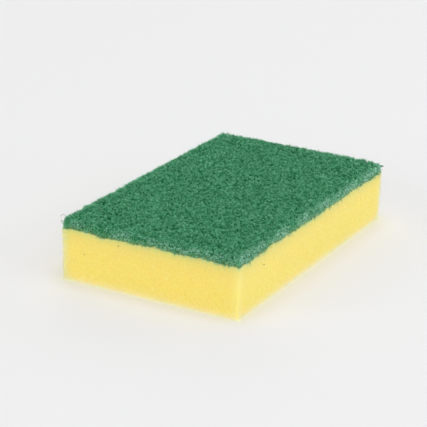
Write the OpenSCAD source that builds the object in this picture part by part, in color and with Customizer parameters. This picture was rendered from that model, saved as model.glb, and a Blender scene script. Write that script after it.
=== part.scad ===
// Kitchen cleaning sponge: a block of cut foam with a scouring pad bonded over its top face.
// It lies on the foam's underside, with its length along X and the pad facing +Z.
// The origin is the middle of the underside. All sizes are in millimetres.

/* [Sponge] */
// Length of the sponge
sponge_l = 150; // [90:1:220]
// Width of the sponge
sponge_w = 90; // [50:1:130]

/* [Foam block] */
// Thickness of the foam block
foam_t = 24; // [12:0.1:60]
// How far the block's sides lean out, from the underside up to the pad
foam_lean = 0.4; // [0:0.1:1.5]
// Radius of the block's four upright corners, under the pad
foam_corner_r = 0.9; // [0.8:0.1:8]
// Width of the bevel round the underside
foam_bevel = 0.3; // [0.1:0.1:4]

/* [Scouring pad] */
// Thickness of the pad
pad_t = 5.8; // [2:0.1:12]
// Radius of the pad's four corners
pad_corner_r = 1.8; // [1:0.1:8]
// Radius of the shoulders, where the blade that cut the pad pinched its edge down
pad_shoulder_r = 1.6; // [0.5:0.1:6]
// Deepest that the wavering cut bites in from the foam's sides
pad_bite = 0.5; // [0.1:0.05:1.5]
// Distance between points along the cut
pad_cut_step = 4; // [2:0.5:8]

/* [Hidden] */
$fn = 64;

foam_colour = [0.97, 0.88, 0.46];
pad_colour = [0.25, 0.50, 0.36];

// Least height that the pad's upright cut face keeps below its shoulders.
cut_face_least = 0.5;

// Least radius that the lean and the bevel together leave of the block's corners.
foot_corner_least = 0.1;
foam_foot_in = min(foam_lean, (foam_corner_r - foot_corner_least) / 2);
foam_bevel_in = min(foam_bevel, (foam_corner_r - foot_corner_least) / 2, foam_t / 2);

// A shoulder can't be rounder than the corner that it turns, or deeper than the pad.
pad_shoulder = min(pad_shoulder_r, pad_corner_r, pad_t - cut_face_least);

// How far a cutting shape runs past what it cuts.
spill = 1;

// Waves that make up the cut edge: length in mm, share of the bite, phase in degrees.
cut_waves = [
    [43, 0.45, 15],
    [19, 0.32, 140],
    [11, 0.23, 260]
];

// Bite of the cut, from 0 to pad_bite, at a distance run along the edge.
function bite(run) =
    pad_bite / 2 * (1 + sum([for (w = cut_waves) w[1] * sin(360 * run / w[0] + w[2])]));

// Sum of a list of numbers.
function sum(list, i = 0) = i < len(list) ? list[i] + sum(list, i + 1) : 0;

// Points along one side of the cut, from its left end to its right end as seen from inside the
// pad. The side is length long and lies away from the middle, and start is the run at its left end.
function cut_side(length, away, start) =
    let (steps = round(length / pad_cut_step))
    [for (i = [0 : steps]) let (run = length * i / steps)
        [length / 2 - run, away - bite(start + run)]];

// A point turned by a number of quarter turns.
function quarter_turns(p, n) =
    n == 0 ? p : quarter_turns([-p[1], p[0]], n - 1);

// Leaves out a side's last bite depth at both ends, where the next side's cut crosses it.
function inner_part(points, length) =
    [for (p = points) if (abs(p[0]) < length / 2 - pad_bite - pad_cut_step / 2) p];

// The corner where two sides meet, set in from the sharp corner by half a bite.
function cut_corner(length, away) = [-length / 2 + pad_bite / 2, away - pad_bite / 2];

// The pad's whole outline, side by side round the sponge.
function cut_outline() = [
    for (n = [0 : 3])
        let (
            length = n % 2 == 0 ? sponge_l : sponge_w,
            away = (n % 2 == 0 ? sponge_w : sponge_l) / 2,
            start = ceil(n / 2) * sponge_l + floor(n / 2) * sponge_w,
            side = inner_part(cut_side(length, away, start), length)
        )
        for (p = concat(side, [cut_corner(length, away)]))
            quarter_turns(p, n)
];

// The right side of a slab's section, from its foot up. A bevel takes off the foot's corner, and
// the wall above it leans out by lean to reach.
function wall_points(reach, thick, lean, bevel) = concat(
    [[reach - lean - bevel, 0]],
    bevel > 0 ? [[reach - lean, bevel]] : [],
    [[reach, thick]]
);

// The same points on the left side, from the top down.
function mirrored(points) =
    [for (i = [len(points) - 1 : -1 : 0]) [-points[i][0], points[i][1]]];

// What rounding a section's upper outer corner to radius r takes away.
module shoulder_waste(reach, thick, r) {
    if (r > 0)
        translate([reach - r, thick - r])
            difference() {
                square(r + spill);
                circle(r);
            }
}

// The right half of a slab's section, from the middle out to reach.
module half_section(reach, thick, lean, bevel, shoulder) {
    difference() {
        polygon(concat([[0, 0]], wall_points(reach, thick, lean, bevel), [[0, thick]]));
        shoulder_waste(reach, thick, shoulder);
    }
}

// A slab's whole section, width across at the top.
module section(width, thick, lean, bevel, shoulder) {
    right = wall_points(width / 2, thick, lean, bevel);
    difference() {
        polygon(concat(right, mirrored(right)));
        for (side = [0, 1])
            mirror([side, 0])
                shoulder_waste(width / 2, thick, shoulder);
    }
}

// A slab that stands on z = 0 and measures size at its top, with upright corners of corner_r
// there. Its walls lean out by lean, its underside has a bevel round it, and its top has rounded
// shoulders. Its section runs both ways and turns at each corner.
module slab(size, corner_r, lean, bevel, shoulder) {
    inner = [size[0] - 2 * corner_r, size[1] - 2 * corner_r];
    rotate([90, 0, 90])
        linear_extrude(inner[0], center = true)
            section(size[1], size[2], lean, bevel, shoulder);
    rotate([90, 0, 0])
        linear_extrude(inner[1], center = true)
            section(size[0], size[2], lean, bevel, shoulder);
    for (x = [-1, 1], y = [-1, 1])
        translate([x * inner[0] / 2, y * inner[1] / 2, 0])
            rotate_extrude()
                half_section(corner_r, size[2], lean, bevel, shoulder);
}

// The foam: sawn sides that lean out a little up to the pad, where the top edge is sharp.
module foam_block() {
    color(foam_colour)
        slab([sponge_l, sponge_w, foam_t], foam_corner_r, foam_foot_in, foam_bevel_in, 0);
}

// The pad: one layer of stiff web, flat below, with shoulders that fall to its wavering cut edge.
module scouring_pad() {
    color(pad_colour)
        translate([0, 0, foam_t])
            intersection() {
                slab([sponge_l, sponge_w, pad_t], pad_corner_r, 0, 0, pad_shoulder);
                linear_extrude(pad_t)
                    polygon(cut_outline());
            }
}

foam_block();
scouring_pad();
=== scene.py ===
"""Looks of a kitchen cleaning sponge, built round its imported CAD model.

The foam block and the body of the scouring pad are closed slabs worked out as arrays from the
boxes of their CAD solids and then roughened along their normals. Thousands of short bent fibres
make up the pad's web. Shapes are in millimetres until a mesh is written, when they become metres.
"""

import logging
import math
from dataclasses import dataclass
from enum import Enum
from functools import cached_property

import bpy
import numpy as np
from mathutils import Matrix, Vector


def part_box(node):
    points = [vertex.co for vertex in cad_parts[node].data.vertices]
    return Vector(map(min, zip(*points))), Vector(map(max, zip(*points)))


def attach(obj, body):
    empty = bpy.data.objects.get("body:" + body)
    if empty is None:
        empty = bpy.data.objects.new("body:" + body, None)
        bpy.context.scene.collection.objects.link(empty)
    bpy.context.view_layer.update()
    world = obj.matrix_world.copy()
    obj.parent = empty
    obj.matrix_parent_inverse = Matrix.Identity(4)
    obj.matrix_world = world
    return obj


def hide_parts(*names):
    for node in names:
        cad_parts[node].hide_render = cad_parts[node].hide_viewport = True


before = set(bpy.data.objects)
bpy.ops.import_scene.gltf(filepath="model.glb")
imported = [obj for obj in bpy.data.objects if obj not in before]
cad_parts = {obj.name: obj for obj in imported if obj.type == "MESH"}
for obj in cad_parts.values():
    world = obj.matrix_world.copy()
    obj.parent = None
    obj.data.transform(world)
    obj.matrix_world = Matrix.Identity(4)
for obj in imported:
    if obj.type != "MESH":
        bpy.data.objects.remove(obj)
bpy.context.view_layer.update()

# A millimetre in metres, and the name of the maps that the materials can be baked to.
MM = 0.001
BAKE_MAP = "OFBake"
# What counts as nothing: in a divisor, and in millimetres between a point and an edge.
TINY = 1e-9
TOUCHING = 1e-6

Array = np.ndarray
Colour = tuple[float, float, float]
Place = tuple[float, float, float]
Span = tuple[float, float]
Piece = bpy.types.Object
Socket = bpy.types.NodeSocket

log = logging.getLogger("sponge")


# Noise and falling off


def scrambled(cells: Array, seed: int) -> Array:
    """Turns whole-numbered cells into random numbers, the same ones every time.

    Each cell's three numbers are multiplied by large odd ones and mixed by shifts.

    Args:
        cells: Whole numbers, three to a row.
        seed: Picks one set of random numbers.

    Returns:
        Numbers from 0 to 1, three to a row.
    """
    c = cells.astype(np.uint32)
    h = c[..., 0] * np.uint32(73856093) ^ c[..., 1] * np.uint32(19349663)
    h = h ^ c[..., 2] * np.uint32(83492791) ^ np.uint32(seed * 2654435761 % 2**32)
    found = []
    for _ in range(3):
        h = (h ^ (h >> np.uint32(16))) * np.uint32(0x7FEB352D)
        h = (h ^ (h >> np.uint32(15))) * np.uint32(0x846CA68B)
        h = h ^ (h >> np.uint32(16))
        found.append(h / 2.0**32)
    return np.stack(found, -1)


@dataclass(frozen=True)
class Pits:
    """One set of pits, where a saw has opened the bubbles of foam.

    Space is cut into cubes of a size, with one bubble's centre at random in each. A pit's depth
    is its share at the centre and falls, as the square of the distance grows, to nothing at reach
    cube sides.
    """

    size: float
    reach: float
    share: float
    seed: int

    def at(self, points: Array) -> Array:
        """How deep the pits are.

        The nearest centre lies in a point's own cube or one of the 26 round it.

        Args:
            points: Places in millimetres, three numbers to a row.

        Returns:
            The depth at each point.
        """
        inside = points / self.size
        home = np.floor(inside).astype(np.int64)
        nearest = np.full(len(points), np.inf)
        for step in np.ndindex(3, 3, 3):
            cube = home + np.array(step) - 1
            centre = cube + scrambled(cube, self.seed)
            nearest = np.minimum(nearest, ((inside - centre) ** 2).sum(1))
        return self.share * np.maximum(0, 1 - (np.sqrt(nearest) / self.reach) ** 2)


@dataclass(frozen=True)
class Roll:
    """One layer of smooth noise, with a mean of 0 and a spread of its height.

    It is a sum of plane waves with random directions and phases and lengths round one length.
    """

    height: float
    length: float
    seed: int
    waves: int = 40
    lengths: Span = (0.7, 1.4)

    def at(self, points: Array) -> Array:
        """How high the layer is.

        Args:
            points: Places in millimetres, three numbers to a row.

        Returns:
            The height at each point.
        """
        rng = np.random.default_rng(self.seed)
        way = rng.normal(size=(self.waves, 3))
        way /= np.linalg.norm(way, axis=1, keepdims=True)
        pitch = 2 * np.pi / (self.length * rng.uniform(*self.lengths, self.waves))
        phase = rng.uniform(0, 2 * np.pi, self.waves)
        total = np.cos(points @ (way * pitch[:, None]).T + phase).sum(1)
        return self.height * (total * math.sqrt(2 / self.waves))


@dataclass(frozen=True)
class Fade:
    """A share that falls off as the exponential of minus the distance over the reach."""

    share: float
    reach: float

    def at(self, distance: Array) -> Array:
        """What is left of the share at each distance."""
        return self.share * np.exp(-distance / self.reach)


def bell(distance: Array, reach: float) -> Array:
    """Falls off from 1 as the exponential of minus the square of the distance over the reach."""
    return np.exp(-((distance / reach) ** 2))


@dataclass(frozen=True)
class Swell:
    """A place on the plan where a height or a share swells up by rise or, below 0, sags."""

    x: float
    y: float
    reach: float
    rise: float

    def at(self, points: Array) -> Array:
        """How much of the swell is left over each point's place on the plan."""
        return self.rise * bell(np.hypot(points[:, 0] - self.x, points[:, 1] - self.y), self.reach)


def summed(
    layers: tuple[Pits | Roll | Fade | Swell, ...], at: Array, start: Array | float = 0.0
) -> Array:
    """Adds up what every layer gives at the same points or distances, on top of a start."""
    return sum((layer.at(at) for layer in layers), start)


def eased(x: Array) -> Array:
    """Rises smoothly from 0 to 1 as x does, as 3x squared less 2x cubed."""
    x = np.clip(x, 0, 1)
    return x * x * (3 - 2 * x)


# Meshes


def write_mesh(name: str, points: Array, faces: list[Array], uv: Array | None = None) -> Piece:
    """Makes a smooth-shaded object, at the origin, from arrays.

    Args:
        name: The piece's name.
        points: Vertices in millimetres.
        faces: Vertex numbers; each array holds the faces of one number of corners.
        uv: A place on the unit square for each face corner, in the faces' order.

    Returns:
        The object, linked to the scene.
    """
    mesh = bpy.data.meshes.new(name)
    totals = np.concatenate([np.full(len(f), f.shape[1]) for f in faces])
    corners = np.concatenate([f.ravel() for f in faces])
    mesh.vertices.add(len(points))
    mesh.vertices.foreach_set("co", (points * MM).astype(np.float32).ravel())
    mesh.loops.add(len(corners))
    mesh.loops.foreach_set("vertex_index", corners.astype(np.int32))
    mesh.polygons.add(len(totals))
    mesh.polygons.foreach_set("loop_start", (np.cumsum(totals) - totals).astype(np.int32))
    mesh.update(calc_edges=True)
    mesh.shade_smooth()
    if uv is not None:
        layer = mesh.uv_layers.new(name=BAKE_MAP)
        layer.uv.foreach_set("vector", uv.astype(np.float32).ravel())
    piece = bpy.data.objects.new(name, mesh)
    bpy.context.scene.collection.objects.link(piece)
    return piece


def give_values(piece: Piece, values: dict[str, Array]) -> None:
    """Gives a piece's vertices named numbers, which its material reads.

    Args:
        piece: The piece.
        values: One number for each vertex, by their names.
    """
    for name, numbers in values.items():
        layer = piece.data.attributes.new(name, "FLOAT", "POINT")
        layer.data.foreach_set("value", numbers.astype(np.float32))


def points_and_normals(piece: Piece) -> tuple[Array, Array]:
    """Reads a piece's shape.

    Args:
        piece: The piece.

    Returns:
        Its vertices in millimetres, and its smooth normals.
    """
    mesh = piece.data
    points = np.empty(len(mesh.vertices) * 3, np.float32)
    normals = np.empty(len(mesh.vertices) * 3, np.float32)
    mesh.vertices.foreach_get("co", points)
    mesh.vertex_normals.foreach_get("vector", normals)
    return points.reshape(-1, 3) / MM, normals.reshape(-1, 3).astype(float)


def move_points(piece: Piece, points: Array) -> None:
    """Gives a piece's vertices new places, in millimetres."""
    piece.data.vertices.foreach_set("co", (points * MM).astype(np.float32).ravel())
    piece.data.update()


def crease(piece: Piece, count: int) -> None:
    """Shades the faces on either side of a ring of vertices apart.

    Args:
        piece: The piece.
        count: How many of its first vertices make up the ring.
    """
    mesh = piece.data
    ends = np.empty(len(mesh.edges) * 2, np.int32)
    mesh.edges.foreach_get("vertices", ends)
    on_ring = (ends.reshape(-1, 2) < count).all(1)
    layer = mesh.attributes.new("sharp_edge", "BOOLEAN", "EDGE")
    layer.data.foreach_set("value", on_ring)


@dataclass(frozen=True)
class Slab:
    """A closed slab with upright rounded corners and rounded edges below and above.

    Its sides are a band of columns and rows: a column is a point on the unit square's rim, and a
    row is a step of the section, which sets how far in the rim lies and how high. Caps of larger
    faces close the band below and above. The bake map shows them all flat, with gaps between.
    """

    length: float
    width: float
    low: float
    high: float
    corner: float
    low_round: float
    high_round: float
    lean: float = 0
    cell: float = 0.5
    cap_step: int = 3
    map_gap: float = 2.0
    hidden_scale: float = 0.15

    def half(self) -> Array:
        """Half the length and half the width."""
        return np.array([self.length, self.width]) / 2

    def leaning(self, height: Array) -> Array:
        """How far in a side lies at a height, for its lean."""
        return self.lean * (self.high - height) / (self.high - self.low)

    def counts(self) -> tuple[int, int]:
        """How many columns run along the length and across the width."""
        step = self.cell * self.cap_step
        return round(self.length / step) * self.cap_step, round(self.width / step) * self.cap_step

    def rim(self) -> Array:
        """Walks round the square from -1 to 1, anticlockwise.

        Returns:
            The columns' places on its rim.
        """
        nx, ny = self.counts()
        x, y = np.linspace(-1, 1, nx + 1)[:-1], np.linspace(-1, 1, ny + 1)[:-1]
        return np.concatenate([
            np.stack([x, np.full(nx, -1.0)], 1),
            np.stack([np.full(ny, 1.0), y], 1),
            np.stack([-x, np.full(nx, 1.0)], 1),
            np.stack([np.full(ny, -1.0), -y], 1),
        ])

    def section(self) -> tuple[Array, Array, Array]:
        """The section's steps from the underside's rim to the top's.

        It is a quarter circle out and up, a straight wall, and a quarter circle up and in.

        Returns:
            How far in each step lies, how high, and its distance run along the section.
        """
        def turns(radius: float) -> Array:
            """Angles of a quarter circle's points, or one angle where there is no round."""
            if radius == 0:
                return np.array([np.pi / 2])
            return np.linspace(0, np.pi / 2, math.ceil(radius * np.pi / 2 / self.cell) + 1)

        a, b = turns(self.low_round), turns(self.high_round)[::-1]
        foot, top = self.low + self.low_round, self.high - self.high_round
        straight = self.high - self.low - self.low_round - self.high_round
        wall = np.linspace(foot, top, round(straight / self.cell) + 1)[1:-1]
        inset = np.concatenate([
            self.low_round * (1 - np.sin(a)),
            np.zeros(len(wall)),
            self.high_round * (1 - np.sin(b)),
        ])
        height = np.concatenate([
            self.low + self.low_round * (1 - np.cos(a)),
            wall,
            self.high - self.high_round * (1 - np.cos(b)),
        ])
        inset = inset + self.leaning(height)
        run = np.concatenate([[0], np.cumsum(np.hypot(np.diff(inset), np.diff(height)))])
        return inset, height, run

    def placed(self, square: Array, inset: Array | float) -> Array:
        """Carries points of the unit square to the slab's plan.

        A point is first stretched onto the sharp-cornered plan. The part of it that lies beyond
        the corner circles' centres is then turned from a square's direction and reach to a
        circle's, which rounds the corners and leaves the straight sides alone.

        Args:
            square: Places on the square from -1 to 1.
            inset: How far in from the outline the square's rim comes to lie.

        Returns:
            Places on the plan.
        """
        centre = self.half() - self.corner
        sharp = square * (self.half() - np.asarray(inset)[..., None])
        core = np.clip(sharp, -centre, centre)
        out = sharp - core
        size = np.abs(out)
        reach = size.max(-1)
        turn = size.min(-1) / np.maximum(reach, TINY) * np.pi / 4
        along_x = size[..., 0] >= size[..., 1]
        way = np.stack([
            np.where(along_x, np.cos(turn), np.sin(turn)),
            np.where(along_x, np.sin(turn), np.cos(turn)),
        ], -1)
        return core + np.sign(out) * way * reach[..., None]

    def band(self) -> tuple[Array, Array, Array]:
        """Makes the sides.

        Returns:
            Their points, row by row, their faces, and each face corner's place on the bake map in
            millimetres, with each side on a shelf of its own or beside another.
        """
        nx, ny = self.counts()
        inset, height, run = self.section()
        rows, columns = len(inset), 2 * (nx + ny)
        plan = self.placed(self.rim()[None], np.repeat(inset[:, None], columns, 1))
        level = np.broadcast_to(height[:, None, None], (rows, columns, 1))
        points = np.concatenate([plan, level], -1).reshape(-1, 3)

        here = np.arange((rows - 1) * columns).reshape(rows - 1, columns)
        after = np.roll(here, -1, 1)
        faces = np.stack([here, after, after + columns, here + columns], -1).reshape(-1, 4)

        side_of = np.repeat([0, 1, 2, 3], [nx, ny, nx, ny])
        begin = np.array([0, nx, nx + ny, 2 * nx + ny])[side_of]
        step = np.array([self.length / nx, self.width / ny] * 2)[side_of]
        left = (np.arange(columns) - begin) * step
        beside = np.array([0, 0, 0, self.width + self.map_gap])[side_of]
        shelf = np.array([0, 2, 1, 2])[side_of] * (run[-1] + self.map_gap)
        u = np.stack([left, left + step, left + step, left], -1) + beside[:, None]
        v = np.stack([run[:-1], run[:-1], run[1:], run[1:]], -1)[:, None] + shelf[:, None]
        return points, faces, np.stack([np.broadcast_to(u, v.shape), v], -1).reshape(-1, 2)

    def cap(self, ring: int, first: int, low: bool) -> tuple[Array, list[Array]]:
        """The grid that closes the band below or above.

        Inside it are square faces of cap_step columns each way. Fans of triangles, from the
        outermost of their corners to every column of the band, close the rim.

        Args:
            ring: Number of the band's first vertex on this rim.
            first: Number that the cap's first own vertex gets.
            low: True for the underside.

        Returns:
            The cap's own vertices, and its faces by their number of corners.
        """
        nx, ny = self.counts()
        s = self.cap_step
        cx, cy = nx // s, ny // s
        around = ring + np.arange(2 * (nx + ny))
        number = np.empty((cx + 1, cy + 1), int)
        inner = first + np.arange((cx - 1) * (cy - 1)).reshape(cx - 1, cy - 1)
        number[1:-1, 1:-1] = inner
        number[:, 0] = around[: nx + 1 : s]
        number[-1, :] = around[nx : nx + ny + 1 : s]
        number[::-1, -1] = around[nx + ny : 2 * nx + ny + 1 : s]
        number[0, ::-1] = np.append(around, around[0])[2 * nx + ny :: s]

        square = np.stack(np.meshgrid(
            np.linspace(-1, 1, cx + 1)[1:-1], np.linspace(-1, 1, cy + 1)[1:-1], indexing="ij"
        ), -1).reshape(-1, 2)
        inset = self.low_round + self.lean if low else self.high_round
        height = self.low if low else self.high
        own = np.column_stack([self.placed(square, inset), np.full(len(square), height)])

        middle = np.stack([
            inner[:-1, :-1], inner[1:, :-1], inner[1:, 1:], inner[:-1, 1:]
        ], -1).reshape(-1, 4)
        sides = [
            (0, cx, number[1:-1, 1]),
            (nx, cy, number[-2, 1:-1]),
            (nx + ny, cx, number[-2:0:-1, -2]),
            (2 * nx + ny, cy, number[1, -2:0:-1]),
        ]
        fans = []
        for start, cells, inside in sides:
            at = around[(start + np.arange(-s, s * (cells - 1) + 1)) % len(around)]
            hub = np.append(np.repeat(inside[0], 2 * s), np.repeat(inside[1:], s))
            fans.append(np.stack([at[:-1], at[1:], hub], -1))
            fans.append(np.stack([at[2 * s : -1 : s], inside[1:], inside[:-1]], -1))
        faces = [middle, np.concatenate(fans)]
        return own, [f[:, ::-1] for f in faces] if low else faces

    def build(self, name: str, shown_cap_low: bool) -> Piece:
        """Makes the slab, with its sides, underside and top laid out flat as its bake map.

        Args:
            name: The piece's name.
            shown_cap_low: True if the underside shows and the top is hidden, which sets which of
                the two gets the room on the map.

        Returns:
            The object.
        """
        band, sides, side_map = self.band()
        low_points, low_faces = self.cap(0, len(band), True)
        top_ring = len(band) - len(self.rim())
        high_points, high_faces = self.cap(top_ring, len(band) + len(low_points), False)
        points = np.concatenate([band, low_points, high_points])
        shelves = 3
        above_sides = shelves * (self.section()[2][-1] + self.map_gap)

        def cap_map(faces: list[Array], shown: bool) -> Array:
            """Lays a cap out on the map, as it is seen from above.

            Args:
                faces: The cap's faces.
                shown: False where the cap is hidden, and is small on the map.

            Returns:
                Each face corner's place on the map in millimetres.
            """
            flat = points[np.concatenate([f.ravel() for f in faces])][:, :2] + self.half()
            if not shown:
                flat = self.hidden_scale * flat + [self.length + self.map_gap, 0]
            return flat + [0, above_sides]

        caps_map = cap_map(low_faces, shown_cap_low), cap_map(high_faces, not shown_cap_low)
        uv = np.concatenate([side_map, *caps_map])
        uv = (uv + self.map_gap / 2) / (uv.max() + self.map_gap)
        return write_mesh(name, points, [sides] + low_faces + high_faces, uv)


@dataclass(frozen=True)
class Skin:
    """The pad's top, shoulders and cut sides as one sheet that can be rolled out flat.

    A point of the flat sheet beyond the corner circles' centres goes out level to the shoulder,
    round the shoulder's quarter circle, and down the cut side.
    """

    length: float
    width: float
    top: float
    corner: float
    shoulder: float
    drop: float

    def half(self) -> Array:
        """Half the length and half the width."""
        return np.array([self.length, self.width]) / 2

    def core(self) -> Array:
        """Half the sizes of the rectangle of the corner circles' centres."""
        return self.half() - self.corner

    def overhang(self) -> float:
        """How far the flat sheet reaches past that rectangle."""
        return self.corner - self.shoulder + self.shoulder * np.pi / 2 + self.drop - self.shoulder

    def lay(self, flat: Array, depth: Array, spare: Array | float = 0) -> tuple[Array, Array]:
        """Rolls points of the flat sheet up onto the pad.

        Args:
            flat: Places on the flat sheet. What runs past its end is folded back.
            depth: How far below the skin each point lies.
            spare: How far before the sheet's end each point is folded back.

        Returns:
            The points, and the directions that face out of the skin there.
        """
        core = np.clip(flat, -self.core(), self.core())
        out = flat - core
        reach = np.linalg.norm(out, axis=-1)
        way = out / np.maximum(reach, TINY)[..., None]
        reach = np.minimum(reach, 2 * (self.overhang() - spare) - reach)
        level = self.corner - self.shoulder
        turn = np.clip((reach - level) / self.shoulder, 0, np.pi / 2)
        past = np.maximum(reach - level - self.shoulder * np.pi / 2, 0)
        across = np.minimum(reach, level) + self.shoulder * np.sin(turn)
        fall = self.shoulder * (1 - np.cos(turn)) + past
        outward = np.concatenate([way * np.sin(turn)[..., None], np.cos(turn)[..., None]], -1)
        points = np.concatenate([core + way * across[..., None], (self.top - fall)[..., None]], -1)
        return points - outward * depth[..., None], outward


def tubes(paths: Array, outward: Array, radius: Array) -> tuple[Array, list[Array], Array]:
    """Three-sided tubes along many short paths, closed at both ends.

    At each point of a path, three vertices stand round it at a third of a turn from each other,
    in the plane across the path's direction there. On the bake map each tube has a cell of its
    own in a grid, with its length across the cell and its sides up it, and the triangles of its
    ends in the cell's margins.

    Args:
        paths: Points of each path: paths by points by three.
        outward: A direction that isn't along the path, for each point.
        radius: Radius at each point.

    Returns:
        Vertices, faces by their number of corners, and each corner's place on the bake map.
    """
    count, rings = paths.shape[:2]
    along = np.gradient(paths, axis=1)
    along /= np.linalg.norm(along, axis=-1, keepdims=True)
    side = np.cross(outward, along)
    side /= np.maximum(np.linalg.norm(side, axis=-1, keepdims=True), TINY)
    up = np.cross(along, side)
    turn = np.arange(3) * 2 * np.pi / 3
    ring = side[:, :, None] * np.cos(turn)[:, None] + up[:, :, None] * np.sin(turn)[:, None]
    points = (paths[:, :, None] + radius[:, :, None, None] * ring).reshape(-1, 3)

    tube, at, edge = np.meshgrid(np.arange(count), np.arange(rings - 1), np.arange(3), indexing="ij")
    near = (tube * rings + at) * 3
    after = (edge + 1) % 3
    sides = np.stack([near + edge, near + after, near + 3 + after, near + 3 + edge], -1)
    start = np.arange(count)[:, None] * rings * 3
    ends = np.stack([start + [0, 2, 1], start + (rings - 1) * 3 + [0, 1, 2]], 1)

    cell_shape, margin = 2.5, 0.1
    wide = max(1, math.ceil(math.sqrt(count / cell_shape)))
    high = math.ceil(count / wide)
    cell = np.stack([np.arange(count) % wide, np.arange(count) // wide], -1)
    u = margin + (1 - 2 * margin) * (at[..., None] + [0, 0, 1, 1]) / (rings - 1)
    v = margin + (1 - 2 * margin) * (edge[..., None] + [0, 1, 1, 0]) / 3
    body = np.stack([u, v], -1) + cell[:, None, None, None, :]
    cap = np.array([[0.02, 0.2], [0.02, 0.8], [0.07, 0.5], [0.98, 0.2], [0.98, 0.8], [0.93, 0.5]])
    uv = np.concatenate([body.reshape(-1, 2), (cell[:, None, :] + cap).reshape(-1, 2)])
    return points, [sides.reshape(-1, 4), ends.reshape(-1, 3)], uv / [wide, high]


# Materials


class Nodes:
    """A short way to write the nodes of a material or of the sky."""

    def __init__(self, tree: bpy.types.NodeTree) -> None:
        """Takes the node tree to write in."""
        self.tree = tree

    def fill(self, node: bpy.types.Node, **numbers: float | tuple[float, ...]) -> None:
        """Sets a node's inputs.

        Args:
            node: The node.
            numbers: Values by the inputs' names, with _ for a space. A colour gets its alpha.
        """
        for name, value in numbers.items():
            socket = node.inputs[name.replace("_", " ")]
            socket.default_value = (*value, 1) if socket.type == "RGBA" else value

    def add(self, kind: str, **settings: str) -> bpy.types.Node:
        """Adds a node.

        Args:
            kind: The node's type.
            settings: Values by the names of the node's properties.

        Returns:
            The node.
        """
        node = self.tree.nodes.new(kind)
        for name, value in settings.items():
            setattr(node, name, value)
        return node

    def link(self, source: Socket, node: bpy.types.Node, name: str | int) -> None:
        """Feeds a node's input."""
        self.tree.links.new(source, node.inputs[name])

    @cached_property
    def place(self) -> Socket:
        """The place on the object, in metres."""
        return self.add("ShaderNodeTexCoord").outputs["Object"]

    @cached_property
    def seen(self) -> Socket:
        """1 where the camera itself looks, and 0 for light on its way."""
        return self.add("ShaderNodeLightPath").outputs["Is Camera Ray"]

    def value(self, name: str) -> Socket:
        """A named number of the mesh's vertices."""
        return self.add("ShaderNodeAttribute", attribute_name=name).outputs["Fac"]

    def noise(self, size: float, detail: float) -> Socket:
        """Noise all through the object.

        Args:
            size: How large its lumps are, in millimetres.
            detail: How many finer layers lie over it.

        Returns:
            The noise, from 0 to 1.
        """
        node = self.add("ShaderNodeTexNoise")
        self.fill(node, Scale=1 / (size * MM), Detail=detail)
        self.link(self.place, node, "Vector")
        return node.outputs["Fac"]

    def math(self, operation: str, a: Socket, b: Socket | float = 0.0) -> Socket:
        """Works out a number from one or two others.

        Args:
            operation: What is done with them.
            a: The first number.
            b: The second, which may be fixed.

        Returns:
            The result.
        """
        node = self.add("ShaderNodeMath", operation=operation)
        self.link(a, node, 0)
        if isinstance(b, float):
            node.inputs[1].default_value = b
        else:
            self.link(b, node, 1)
        return node.outputs[0]

    def spread(self, source: Socket, given: Span, wanted: Span = (0.0, 1.0)) -> Socket:
        """Carries one range of a number to another, and keeps the number inside.

        Args:
            source: The number.
            given: The range that it comes in.
            wanted: The range that it is carried to.

        Returns:
            The number in the wanted range.
        """
        node = self.add("ShaderNodeMapRange")
        self.link(source, node, "Value")
        self.fill(node, From_Min=given[0], From_Max=given[1], To_Min=wanted[0], To_Max=wanted[1])
        return node.outputs["Result"]

    def mix(self, share: Socket, a: Socket | Colour, b: Colour, blend: str = "MIX") -> Socket:
        """Goes from one colour to another, or to their product.

        Args:
            share: How far, from 0 to 1.
            a: The colour at 0.
            b: The other colour.
            blend: MIX, or MULTIPLY for the product.

        Returns:
            The colour between them.
        """
        node = self.add("ShaderNodeMix", data_type="RGBA", blend_type=blend)
        self.link(share, node, "Factor")
        for name, colour in (("A", a), ("B", b)):
            socket = next(s for s in node.inputs if s.name == name and s.type == "RGBA")
            if isinstance(colour, tuple):
                socket.default_value = (*colour, 1)
            else:
                self.tree.links.new(colour, socket)
        return next(s for s in node.outputs if s.type == "RGBA")

    def tinted(self, colour: Socket, tints: dict[str, Colour], blend: str = "MIX") -> Socket:
        """Takes a colour to each tint in turn.

        Args:
            colour: The colour.
            tints: The tints, by the names of the vertex numbers that say how far.
            blend: MIX, or MULTIPLY to multiply by the tints.

        Returns:
            The tinted colour.
        """
        for name, tint in tints.items():
            colour = self.mix(self.value(name), colour, tint, blend)
        return colour

    def glow(self, kind: str, colour: Colour, strength: float = 1.0) -> Socket:
        """Plain light of one colour.

        Args:
            kind: The type of an emission or a background node.
            colour: The light's colour.
            strength: The light's strength.

        Returns:
            The light, as a shader.
        """
        node = self.add(kind)
        self.fill(node, Color=colour, Strength=strength)
        return node.outputs[0]

    def shaders(self, share: Socket, a: Socket, b: Socket) -> Socket:
        """Goes from one shader to another.

        Args:
            share: How far, from 0 to 1.
            a: The shader at 0.
            b: The shader at 1.

        Returns:
            The shader between them.
        """
        node = self.add("ShaderNodeMixShader")
        for name, source in (("Fac", share), (1, a), (2, b)):
            self.link(source, node, name)
        return node.outputs[0]


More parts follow.
